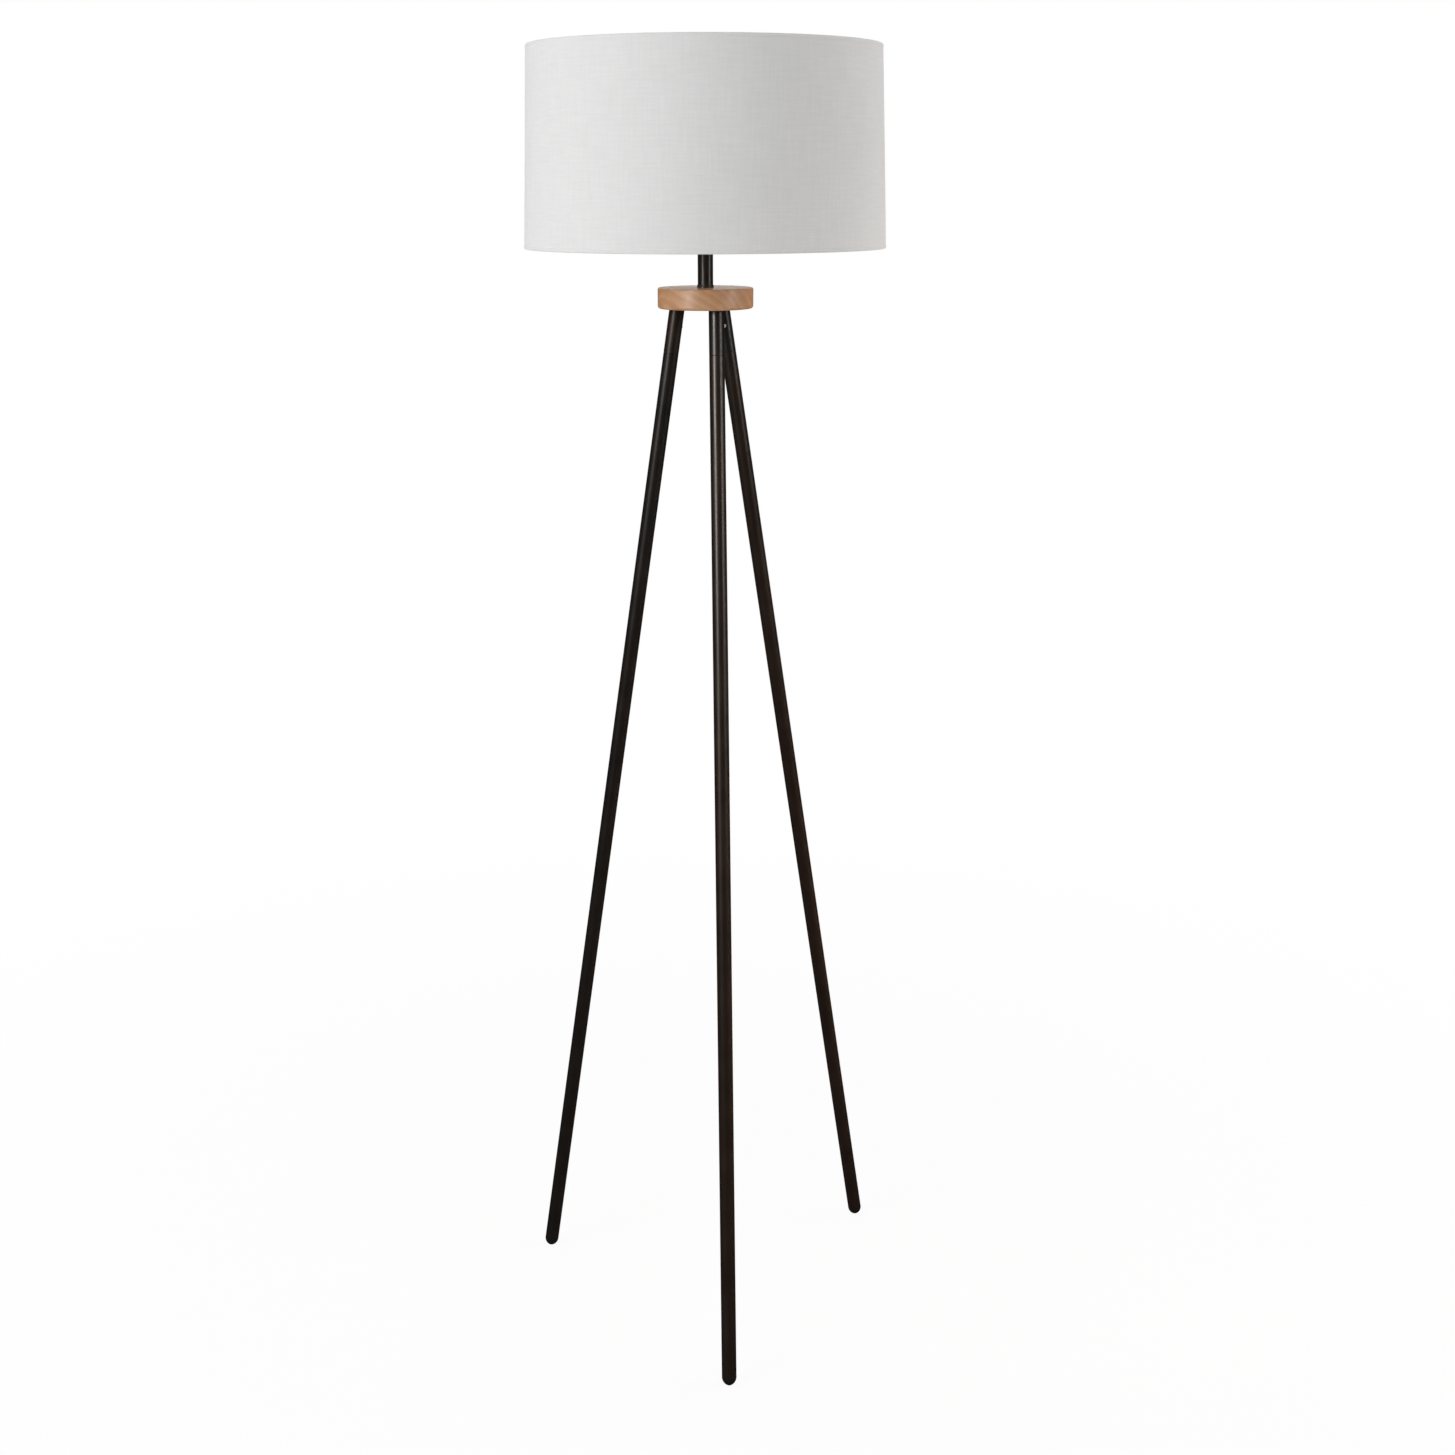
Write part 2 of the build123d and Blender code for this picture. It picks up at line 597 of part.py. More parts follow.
# ---- Lampholder ----
def holder_cap():
    low = HOLDER_Z
    top = low + CAP_HEIGHT
    flare = low + CAP_HUB_HEIGHT
    cap = turned(
        (0, low), (CAP_HUB_R, low), (CAP_HUB_R, flare), (CAP_R, flare + CAP_FLARE), (CAP_R, top),
        (CAP_R - CAP_WALL, top), (CAP_R - CAP_WALL, low + SHELL_START),
        (CAP_HUB_R, low + PIPE_INTO_CAP), (0, low + PIPE_INTO_CAP),
    )
    cap -= rod(PIPE_HOLE_R, low - 1, low + PIPE_INTO_CAP + 1)
    return cap - cap_screw_hole()


def cap_screw_hole():
    middle = HOLDER_Z + CAP_HUB_HEIGHT / 2
    return Pos(0, -CAP_HUB_R, middle) * Rot(90, 0, 0) * Cylinder(CAP_SCREW_R + FIXED_GAP, 2 * CAP_HUB_R)


def cap_screw():
    """The set screw that stops the lampholder from turning on its pipe."""
    middle = HOLDER_Z + CAP_HUB_HEIGHT / 2
    length = CAP_HUB_R - PIPE_R + 1.5
    screw = Pos(0, -PIPE_HOLE_R, middle) * Rot(90, 0, 0) * Cylinder(CAP_SCREW_R, length, align=BASE)
    slot = Pos(0, -PIPE_HOLE_R - length, middle) * Box(4 * CAP_SCREW_R, 1.6, 0.6)
    return screw - slot


def holder_shell():
    low = HOLDER_Z + SHELL_START + CAP_WALL / 2
    return ring(SHELL_R, SHELL_R - SHELL_WALL, low, low + SHELL_HEIGHT) - shaft_hole()


def holder_paper():
    low = HOLDER_Z + SHELL_START + CAP_WALL / 2
    return ring(PAPER_R, PAPER_R - PAPER, low, low + SHELL_HEIGHT - 2) - shaft_hole()


def shaft_hole():
    """The way through the shell and the paper for the switch's shaft."""
    hole = Cylinder(SWITCH_SHAFT_R + LOOSE_GAP, BODY_R, align=BASE)
    return Pos(0, -BODY_R, SWITCH_Z) * Rot(90, 0, 0) * hole


def holder_body():
    """The moulded block that carries the contacts and the switch."""
    body = rod(BODY_R, BODY_Z, BODY_TOP_Z)
    hole = Pos(0, -BODY_R - 1, SWITCH_Z) * Rot(90, 0, 0)
    reach = SWITCH_SHAFT_DEPTH + 1 + LOOSE_GAP
    body -= hole * Pos(0, 0, -reach) * Cylinder(SWITCH_SHAFT_R + RUNNING_GAP, reach + 1, align=BASE)
    pocket = Box(2 * TERMINAL_POCKET, TERMINAL_POCKET_WIDTH, TERMINAL_POCKET_WIDTH)
    for side in (-1, 1):
        body -= Pos(side * BODY_R, 0, SWITCH_Z) * pocket
    return body


def terminal_screws():
    screws = []
    for side in (-1, 1):
        place = Pos(side * (BODY_R - TERMINAL_POCKET), 0, SWITCH_Z) * Rot(0, side * 90, 0)
        head = Cylinder(TERMINAL_HEAD_R, TERMINAL_HEAD_HEIGHT, align=BASE)
        slot = Pos(0, 0, TERMINAL_HEAD_HEIGHT) * Box(3 * TERMINAL_HEAD_R, 0.8, 1.4)
        screws.append(place * (head - slot))
    return screws


def screw_shell():
    """The plain sleeve that stands for the lampholder's threaded contact."""
    bore = BULB_BASE_R + RUNNING_GAP
    return ring(SCREW_SHELL_R, bore, BODY_TOP_Z, BODY_TOP_Z + SCREW_SHELL_HEIGHT)


def centre_contact():
    return rod(TONGUE_R, BODY_TOP_Z, BODY_TOP_Z + TONGUE_THICKNESS)


def switch_shaft():
    start = BODY_R - SWITCH_SHAFT_DEPTH
    place = Pos(0, -start, SWITCH_Z) * Rot(90, 0, 0)
    return place * Cylinder(SWITCH_SHAFT_R, SWITCH_SHAFT_LENGTH, align=BASE)


def switch_knob():
    end = BODY_R - SWITCH_SHAFT_DEPTH + SWITCH_SHAFT_LENGTH
    knob = Cylinder(KNOB_R, KNOB_LENGTH, align=BASE)
    knob = fillet(knob.edges().filter_by(GeomType.CIRCLE).sort_by(Axis.Z)[-1], 1.0)
    for index in range(KNOB_FLUTES):
        groove = Pos(KNOB_R, 0, 1.5) * Cylinder(KNOB_FLUTE_R, KNOB_LENGTH, align=BASE)
        knob -= Rot(0, 0, index * 360 / KNOB_FLUTES) * groove
    bore_depth = KNOB_LENGTH - KNOB_WALL
    knob -= Cylinder(SWITCH_SHAFT_R + FIXED_GAP, bore_depth, align=BASE)
    return Pos(0, -end + bore_depth - FIXED_GAP, SWITCH_Z) * Rot(90, 0, 0) * knob


# ---- Bulb ----
def bulb_contact():
    return rod(BULB_TIP_R, BULB_Z, BULB_Z + BULB_TIP_HEIGHT)


def bulb_insulator():
    low = BULB_Z + BULB_TIP_HEIGHT
    return turned((0, low), (BULB_TIP_R, low), (BULB_BASE_R - 1, BULB_BASE_Z), (0, BULB_BASE_Z))


def bulb_base():
    return ring(BULB_BASE_R, BULB_BASE_R - BULB_BASE_WALL, BULB_BASE_Z, BULB_BASE_Z + BULB_BASE_HEIGHT)


def bulb_outline(inset, low, neck_r):
    """Half of the glass: a neck, a cone and a ball that it meets smoothly."""
    ball_r = BULB_R - inset
    ball_z = BULB_TOP_Z - BULB_R
    turn = math.radians(BULB_NECK_TURN)
    join = (ball_r * math.cos(turn), ball_z - ball_r * math.sin(turn))
    bend = (neck_r, join[1] - (join[0] - neck_r) / math.tan(turn))
    top = ball_z + ball_r
    sides = Polyline((0, top), (0, low), (neck_r, low), bend, join)
    ball = ThreePointArc(join, (ball_r, ball_z), (0, top))
    return revolve(make_face(Plane.XZ * Curve([sides, ball])), Axis.Z)


def bulb_globe():
    low = BULB_BASE_Z + BULB_BASE_HEIGHT / 2
    neck_r = BULB_BASE_R - BULB_BASE_WALL - FIXED_GAP
    outer = bulb_outline(0, low, neck_r)
    return outer - bulb_outline(BULB_GLASS, low - 1, neck_r - BULB_GLASS)


def save(name, shape):
    """Writes one named piece, or a group of like pieces, as a STEP file."""
    solids = shape if isinstance(shape, list) else list(shape.solids())
    export_step(Compound(children=list(solids)), f"parts/{name}.step")


def main():
    os.makedirs("parts", exist_ok=True)
    for piece in (
        wood_disc, hub_plate, plate_screws, pole_tube, seat_ring, pole_cap, threaded_pipe,
        hub_washer, hub_lock_washer, hub_nut, cord_bushing, harp_saddle, saddle_nut, harp_bow,
        harp_stud, finial, shade_fabric, shade_liner, shade_top_ring, shade_bottom_ring,
        spider_hub, holder_cap, cap_screw, holder_shell, holder_paper, holder_body,
        terminal_screws, screw_shell, centre_contact, switch_shaft, switch_knob,
        bulb_contact, bulb_insulator, bulb_base, bulb_globe,
    ):
        save(piece.__name__, piece())
    for name in FEET:
        save(f"leg_stub_{name}", leg_stub(name))
        save(f"leg_connector_{name}", leg_connector(name))
        save(f"leg_insert_{name}", leg_insert(name))
        save(f"leg_tube_{name}", leg_tube(name))
        save(f"foot_tip_{name}", foot_tip(name))
    save("leg_set_screws", [solid for name in FEET for solid in set_screw(name).solids()])
    for side, label in ((-1, "left"), (1, "right")):
        save(f"harp_sleeve_{label}", harp_sleeve(side))
    for index in range(ARM_COUNT):
        save(f"spider_arm_{index + 1}", spider_arm(index))


main()
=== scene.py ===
import math

import bmesh
import bpy
from mathutils import Matrix, Vector


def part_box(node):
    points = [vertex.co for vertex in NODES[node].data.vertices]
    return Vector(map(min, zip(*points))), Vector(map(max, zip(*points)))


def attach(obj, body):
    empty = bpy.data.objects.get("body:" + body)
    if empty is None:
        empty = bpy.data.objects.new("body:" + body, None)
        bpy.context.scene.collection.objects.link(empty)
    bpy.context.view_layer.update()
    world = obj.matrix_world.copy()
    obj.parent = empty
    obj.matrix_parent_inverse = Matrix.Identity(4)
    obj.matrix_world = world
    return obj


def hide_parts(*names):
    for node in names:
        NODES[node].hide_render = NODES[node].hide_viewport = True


bl_info = {
    "name": "Tripod Floor Lamp",
    "version": (1, 0, 0),
    "blender": (4, 5, 0),
    "location": "View3D > Sidebar > Floor Lamp",
    "description": "Finishes a packed tripod floor lamp: linen shade, wooden hub and dark tube legs",
    "category": "Object",
}

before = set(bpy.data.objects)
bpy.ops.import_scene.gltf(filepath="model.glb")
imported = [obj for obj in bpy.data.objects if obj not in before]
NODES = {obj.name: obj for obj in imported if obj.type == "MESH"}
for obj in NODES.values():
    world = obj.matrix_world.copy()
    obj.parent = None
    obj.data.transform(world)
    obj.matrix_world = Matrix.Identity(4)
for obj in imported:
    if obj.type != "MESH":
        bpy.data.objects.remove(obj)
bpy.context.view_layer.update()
MM = 0.001
LEG_NAMES = ("front", "left", "right")
STEPS_ROUND_SHADE = 256
SWAPPED_LEG = "left"    # its stub is bronze and its tube black, the other way round from the rest
SENSOR_MM = 36
BRONZE_SHINE = (1.0, 0.93, 0.86)
BLACK_SHINE = (1.0, 0.95, 0.91)

# ---- Places read from the frame ----
FABRIC_LOW, FABRIC_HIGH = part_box("shade_fabric")
BOTTOM_RING_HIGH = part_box("shade_bottom_ring")[1]
TOP_RING_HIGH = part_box("shade_top_ring")[1]
DISC_LOW, DISC_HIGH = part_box("wood_disc")


def middle(node):
    """The middle of a CAD node's box."""
    low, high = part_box(node)
    return (low + high) / 2


# ---------------------------------------------------------------- settings

class LampSizes(bpy.types.PropertyGroup):
    cloth: bpy.props.FloatProperty(
        name="Cloth", description="Thickness of the linen cover", default=0.7 * MM, unit="LENGTH")
    edge_roll: bpy.props.FloatProperty(
        name="Edge roll", description="Width of the rolled linen edge seen outside",
        default=3.4 * MM, unit="LENGTH")
    edge_proud: bpy.props.FloatProperty(
        name="Edge stands proud", description="How far the rolled edge stands out of the cover",
        default=0.14 * MM, unit="LENGTH")
    seam_width: bpy.props.FloatProperty(
        name="Seam width", description="Width of the overlap down the back of the shade",
        default=11 * MM, unit="LENGTH")
    thread_pitch: bpy.props.FloatProperty(
        name="Thread pitch", description="From one linen thread to the next",
        default=0.62 * MM, unit="LENGTH")
    ring_spacing: bpy.props.FloatProperty(
        name="Growth rings", description="From one growth ring of the wood to the next",
        default=9.5 * MM, unit="LENGTH")
    bulb_thread: bpy.props.FloatProperty(
        name="Bulb thread", description="Pitch of the thread rolled in the bulb's base",
        default=3.6 * MM, unit="LENGTH")


def colour_property(name, description, default):
    return bpy.props.FloatVectorProperty(
        name=name, description=description, default=default, subtype="COLOR", min=0, max=1)


class LampColours(bpy.types.PropertyGroup):
    linen: colour_property("Linen", "The shade's cloth", (0.745, 0.742, 0.738))
    liner: colour_property("Liner", "The shade's stiff backing", (0.80, 0.785, 0.75))
    wood_light: colour_property("Light wood", "Wood between the growth rings", (0.59, 0.338, 0.182))
    wood_dark: colour_property("Dark wood", "The growth rings", (0.415, 0.187, 0.077))
    bronze: colour_property("Dark bronze", "Two leg tubes and the left stub", (0.0125, 0.0062, 0.0035))
    black: colour_property("Black", "Pole, two stubs, left tube and plate", (0.0075, 0.0052, 0.0040))
    plastic: colour_property("Black plastic", "Tips, knob and outlet", (0.0070, 0.0066, 0.0064))
    brass: colour_property("Brass", "Lampholder", (0.62, 0.44, 0.18))
    nickel: colour_property("Nickel", "Harp, finial and set screws", (0.62, 0.60, 0.57))
    zinc: colour_property("Zinc", "Nuts, washers and pipe", (0.46, 0.47, 0.49))
    enamel: colour_property("White enamel", "Spider and rings", (0.72, 0.71, 0.69))
    bulb: colour_property("Bulb", "Milky bulb", (0.86, 0.85, 0.82))


class LampStage(bpy.types.PropertyGroup):
    camera_distance: bpy.props.FloatProperty(
        name="Camera distance", description="From the pole's axis, level with the floor",
        default=2.2063, unit="LENGTH")
    camera_height: bpy.props.FloatProperty(
        name="Camera height", description="Above the floor", default=1.3427, unit="LENGTH")
    camera_lens: bpy.props.FloatProperty(
        name="Lens", description=f"Focal length in millimetres on a {SENSOR_MM} mm sensor",
        default=48.19)
    camera_down: bpy.props.FloatProperty(
        name="Looking down", description="How far the camera looks down",
        default=0.2726, subtype="ANGLE")
    camera_right: bpy.props.FloatProperty(
        name="Looking right", description="How far the camera looks to the right",
        default=0.0106, subtype="ANGLE")
    camera_roll: bpy.props.FloatProperty(
        name="Roll", description="How far the camera leans", default=0.002, subtype="ANGLE")
    floor_radius: bpy.props.FloatProperty(
        name="Floor radius", description="Size of the round floor", default=14.0, unit="LENGTH")
    floor_colour: colour_property("Floor", "The pale floor near the lamp", (0.86, 0.86, 0.855))
    backdrop: bpy.props.FloatProperty(
        name="Backdrop", description="Brightness of the far background", default=1.0)
    fill: bpy.props.FloatProperty(
        name="Fill", description="Brightness of the light from all round", default=0.60)
    shine: bpy.props.FloatProperty(
        name="Shine", description="Brightness that gloss picks up from all round", default=0.03)


class LampSettings(bpy.types.PropertyGroup):
    sizes: bpy.props.PointerProperty(type=LampSizes, name="Sizes")
    colours: bpy.props.PointerProperty(type=LampColours, name="Colours")
    stage: bpy.props.PointerProperty(type=LampStage, name="Stage")


# ---------------------------------------------------------------- materials

class Value:
    """A number, colour or vector on its way through a node tree."""

    def __init__(self, nodes, socket):
        self.nodes = nodes
        self.socket = socket

    def __add__(self, other):
        return self.nodes.maths("ADD", self, other)

    def __sub__(self, other):
        return self.nodes.maths("SUBTRACT", self, other)

    def __rsub__(self, other):
        return self.nodes.maths("SUBTRACT", other, self)

    def __mul__(self, other):
        return self.nodes.maths("MULTIPLY", self, other)

    def __truediv__(self, other):
        return self.nodes.maths("DIVIDE", self, other)

    def __rtruediv__(self, other):
        return self.nodes.maths("DIVIDE", other, self)

    __radd__ = __add__
    __rmul__ = __mul__


class Nodes:
    """A node tree that is built up from expressions."""

    def __init__(self, tree):
        self.tree = tree

    def node(self, kind, settings=None, inputs=None, output=0):
        """Adds a node: its settings first, then its sockets; gives the named output."""
        made = self.tree.nodes.new(kind)
        for key, value in (settings or {}).items():
            setattr(made, key, value)
        for key, value in (inputs or {}).items():
            self.feed(made.inputs[key], value)
        return Value(self, made.outputs[output])

    def feed(self, socket, value):
        """Links a value to a socket, or sets the socket's own number or colour."""
        if isinstance(value, Value):
            self.tree.links.new(value.socket, socket)
        elif socket.type == "RGBA":
            socket.default_value = (*value, 1)
        else:
            socket.default_value = value

    def maths(self, operation, *values):
        return self.node("ShaderNodeMath", {"operation": operation}, dict(enumerate(values)))


class Finish(Nodes):
    """One material, built up from nodes and ending in a Principled shader."""

    def __init__(self, name):
        self.material = bpy.data.materials.new(name)
        self.material.use_nodes = True
        super().__init__(self.material.node_tree)
        self.shader = self.tree.nodes["Principled BSDF"]

    def share(self, value, low, high):
        """How far a value is on its way from low to high: 0 up to low, 1 from high on."""
        return self.node("ShaderNodeMapRange", {"clamp": True}, {
            "Value": value, "From Min": low, "From Max": high, "To Min": 0.0, "To Max": 1.0})

    def place(self, centre=(0, 0, 0), turn=(0, 0, 0)):
        """Object coordinates, moved to a centre and then turned."""
        coordinates = self.node("ShaderNodeTexCoord", output="Object")
        moved = self.node("ShaderNodeVectorMath", {"operation": "SUBTRACT"}, {0: coordinates, 1: centre})
        return self.node("ShaderNodeMapping", {"vector_type": "POINT"}, {"Vector": moved, "Rotation": turn})

    def scaled(self, vector, scale):
        """Coordinates stretched for a pattern: a larger number packs it closer along that axis."""
        return self.node("ShaderNodeVectorMath", {"operation": "MULTIPLY"}, {0: vector, 1: scale})

    def split(self, vector):
        """A vector's three numbers."""
        made = self.node("ShaderNodeSeparateXYZ", None, {"Vector": vector}).socket.node
        return [Value(self, output) for output in made.outputs]

    def join(self, x, y):
        return self.node("ShaderNodeCombineXYZ", None, {"X": x, "Y": y})

    def noise(self, vector, scale=1.0, detail=2.0, roughness=0.5):
        """Clouded numbers from 0 to 1, mostly close to a half."""
        return self.node("ShaderNodeTexNoise", None, {
            "Vector": vector, "Scale": scale, "Detail": detail, "Roughness": roughness}, "Fac")

    def blend(self, share, first, second):
        """A mix of two colours; the sockets are told by number, as their names repeat."""
        return self.node("ShaderNodeMix", {"data_type": "RGBA"}, {0: share, 6: first, 7: second}, 2)

    def bump(self, height, distance, strength):
        """A normal from a height of 0 to 1 that stands for a distance in metres."""
        return self.node("ShaderNodeBump", None, {
            "Height": height, "Distance": distance, "Strength": strength})

    def surface(self, **inputs):
        """Sets or links the shader's sockets, each named with _ for a space."""
        for key, value in inputs.items():
            self.feed(self.shader.inputs[key.replace("_", " ")], value)
        return self.material


def shades(colour, low, high):
    """A darker and a lighter version of one colour."""
    return tuple(c * low for c in colour), tuple(min(1.0, c * high) for c in colour)


def linen_finish(name, colour, pitch, turn=0.0):
    """Plain-woven slubby linen, on a UV map in metres along the weft and the warp."""
    finish = Finish(name)
    uv = finish.node("ShaderNodeUVMap", {"uv_map": "Cloth"})
    uv = finish.node("ShaderNodeMapping", {"vector_type": "POINT"}, {
        "Vector": uv, "Rotation": (0, 0, turn)})
    wander = finish.noise(finish.scaled(uv, (55, 55, 55)), detail=3)
    u, v, _ = finish.split(uv)
    weft_slub = finish.noise(finish.join(u * 34, v * 900), detail=2, roughness=0.6)
    warp_slub = finish.noise(finish.join(u * 850, v * 26), detail=2, roughness=0.6)
    x = u / pitch + wander * 1.4 + weft_slub * 0.35
    y = v / pitch + wander * 1.1 + warp_slub * 0.35
    across = finish.maths("FRACT", x) * 2 - 1
    up = finish.maths("FRACT", y) * 2 - 1
    warp_round = 1 - across * across
    weft_round = 1 - up * up
    over = finish.maths("FLOORED_MODULO", finish.maths("FLOOR", x) + finish.maths("FLOOR", y), 2)
    warp_height = warp_round * (weft_round * 0.5 + 0.5)
    weft_height = weft_round * (warp_round * 0.5 + 0.5)
    threads = warp_height * over + weft_height * (1 - over)
    thick = finish.share(weft_slub, 0.56, 0.74)
    thick_up = finish.share(warp_slub, 0.60, 0.76)
    weft_run = finish.noise(finish.join(u * 30, v * 380), detail=3, roughness=0.6)
    warp_run = finish.noise(finish.join(u * 340, v * 24), detail=3, roughness=0.6)
    fibre = finish.noise(finish.scaled(uv, (5200, 5200, 1)), detail=2)
    cloudy = finish.noise(finish.scaled(uv, (9, 14, 1)), detail=3)
    runs = weft_run * 0.68 + warp_run * 0.6 - 0.64
    relief = threads * 0.7 + thick * 0.55 + thick_up * 0.35 + fibre * 0.18 + runs * 0.5
    dark, light = shades(colour, 0.90, 1.045)
    tone = threads * 0.34 + thick * 0.16 + thick_up * 0.10 + cloudy * 0.22 + fibre * 0.16 + runs
    base = finish.blend(finish.share(tone, 0.0, 0.90), dark, light)
    return finish.surface(
        Base_Color=base, Roughness=finish.share(threads, -3.0, 1.4) * 0.2 + 0.76,
        Normal=finish.bump(relief, 0.16 * MM, 0.55), Specular_IOR_Level=0.1)


def styrene_finish(name, colour):
    """The white plastic backing: faintly mottled, with the cloth's threads seen through it as painted shade
    in its colour and as a faint relief in its bump.
    """
    mean_radius = 0.19
    finish = Finish(name)
    spot = finish.place()
    x, y, z = finish.split(spot)
    around = finish.maths("ARCTAN2", y, x) * mean_radius
    mottle = finish.noise(spot, scale=18, detail=4)
    # painted shade: the cloth's threads darken the backing's colour as if seen through it; the same pattern
    # also makes a faint relief in the bump
    thread_shade_and_relief = finish.noise(finish.join(around * 60, z * 950), detail=2)
    dark, light = shades(colour, 0.93, 1.03)
    base = finish.blend(finish.share(mottle * 0.7 + thread_shade_and_relief * 0.3, 0.3, 0.7), dark, light)
    return finish.surface(
        Base_Color=base, Roughness=mottle * 0.14 + 0.42,
        Normal=finish.bump(thread_shade_and_relief, 0.05 * MM, 0.4), Specular_IOR_Level=0.35)


def wood_finish(name, light, dark, spacing):
    """Lacquered wood: growth rings about a far heart, fibres, pores and clouded colour."""
    finish = Finish(name)
    centre = (DISC_LOW + DISC_HIGH) / 2
    spot = finish.place(centre, (math.radians(10), math.radians(-30), math.radians(24)))
    wander = finish.noise(finish.scaled(spot, (14, 24, 24)), detail=2)
    waver = finish.noise(finish.scaled(spot, (40, 110, 110)), detail=2)
    _, y, z = finish.split(spot)
    heart_y = y + 30 * MM + wander * 34 * MM
    heart_z = z + 34 * MM + wander * 20 * MM
    distance = finish.maths("SQRT", heart_y * heart_y + heart_z * heart_z) + waver * 2.4 * MM
    phase = finish.maths("FRACT", distance / spacing)
    ring = finish.maths("SMOOTH_MIN", phase * 1.25, (1 - phase) * 3.2, 0.5)
    fibre = finish.noise(finish.scaled(spot, (60, 2600, 2600)), detail=3, roughness=0.65)
    streak = finish.noise(finish.scaled(spot, (16, 260, 260)), detail=2)
    pore = finish.share(finish.noise(finish.scaled(spot, (130, 2300, 2300)), detail=1), 0.63, 0.74)
    cloud = finish.noise(finish.scaled(spot, (18, 26, 26)), detail=2)
    tone = ring * 0.30 + streak * 0.30 + fibre * 0.12 + cloud * 0.85
    base = finish.blend(finish.share(tone, 0.46, 1.08), light, dark)
    deep = tuple(c * 0.55 for c in dark)
    base = finish.blend(pore * 0.4, base, deep)
    relief = fibre * 0.4 - pore * 0.9
    return finish.surface(
        Base_Color=base, Roughness=streak * 0.18 + 0.36 + pore * 0.15,
        Normal=finish.bump(relief, 0.05 * MM, 0.5),
        Specular_IOR_Level=0.45, Coat_Weight=0.18, Coat_Roughness=0.3)


def leg_turn(node, upper):
    """The turn that lays a leg's axis along local Z, for a pattern that runs down the leg."""
    axis = (middle(node) - middle(upper)).normalized()
    return axis.rotation_difference(Vector((0, 0, 1))).to_euler("XYZ")


def painted_finish(
        name, colour, roughness, centre=(0, 0, 0), turn=(0, 0, 0), peel=0.018 * MM, tint=(1, 1, 1)):
    """Satin paint on metal: faint lengthwise drawing marks, orange peel and dust."""
    finish = Finish(name)
    spot = finish.place(centre, turn)
    x, y, z = finish.split(spot)
    around = finish.maths("ARCTAN2", y, x)
    marks = finish.noise(finish.join(around * 14, z * 9), detail=3, roughness=0.6)
    peeled = finish.noise(spot, scale=1500, detail=1)
    patch = finish.noise(spot, scale=26, detail=3)
    speck = finish.share(finish.noise(spot, scale=2600, detail=0), 0.70, 0.80)
    dark, light = shades(colour, 0.75, 1.5)
    base = finish.blend(finish.share(patch * 0.6 + marks * 0.4, 0.32, 0.72), dark, light)
    base = finish.blend(speck * 0.25, base, tuple(c * 3 + 0.01 for c in colour))
    rough = marks * 0.25 + patch * 0.12 + (roughness - 0.185)
    return finish.surface(
        Base_Color=base, Roughness=rough, Normal=finish.bump(peeled * 0.6 + marks * 0.4, peel, 0.6),
        Specular_IOR_Level=0.5, Specular_Tint=tint)


def metal_finish(name, colour, roughness, metallic=0.85):
    """Bare or plated metal: fine turning marks, dull patches and tiny scratches."""
    finish = Finish(name)
    spot = finish.place()
    brush = finish.noise(spot, scale=900, detail=3, roughness=0.7)
    patch = finish.noise(spot, scale=90, detail=4)
    scratch = finish.share(finish.noise(finish.scaled(spot, (260, 2800, 900)), detail=1), 0.66, 0.72)
    dark, light = shades(colour, 0.93, 1.05)
    base = finish.blend(finish.share(patch, 0.32, 0.68), dark, light)
    return finish.surface(
        Base_Color=base, Metallic=metallic, Roughness=brush * 0.12 + patch * 0.09 + (roughness - 0.10),
        Normal=finish.bump(brush - scratch * 0.3, 0.008 * MM, 0.3))


def moulded_finish(name, colour, roughness):
    """Moulded plastic with a fine spark-eroded grain and a little handling shine."""
    finish = Finish(name)
    spot = finish.place()
    eroded = finish.noise(spot, scale=1600, detail=3, roughness=0.6)
    handled = finish.noise(spot, scale=60, detail=2)
    dark, light = shades(colour, 0.8, 1.35)
    base = finish.blend(finish.share(eroded * 0.5 + handled * 0.5, 0.35, 0.65), dark, light)
    return finish.surface(
        Base_Color=base, Roughness=handled * 0.2 + (roughness - 0.1),
        Normal=finish.bump(eroded, 0.03 * MM, 0.5), Specular_IOR_Level=0.4)


def paper_finish(name):
    """Pressed brown insulating paper with long fibres."""
    finish = Finish(name)
    spot = finish.place()
    fibres = finish.noise(finish.scaled(spot, (700, 700, 2400)), detail=4, roughness=0.7)
    base = finish.blend(finish.share(fibres, 0.3, 0.7), (0.20, 0.13, 0.07), (0.42, 0.30, 0.18))
    return finish.surface(Base_Color=base, Roughness=0.85, Normal=finish.bump(fibres, 0.04 * MM, 0.6))


def milky_finish(name, colour):
    """The bulb's milky globe: nearly even, with a soft gloss."""
    finish = Finish(name)
    spot = finish.place()
    cloud = finish.noise(spot, scale=70, detail=3)
    speck = finish.noise(spot, scale=2200, detail=1)
    dark, light = shades(colour, 0.965, 1.02)
    base = finish.blend(finish.share(cloud * 0.7 + speck * 0.3, 0.35, 0.65), dark, light)
    return finish.surface(
        Base_Color=base, Roughness=cloud * 0.1 + 0.24, Normal=finish.bump(speck, 0.01 * MM, 0.4),
        Coat_Weight=0.25, Coat_Roughness=0.12)


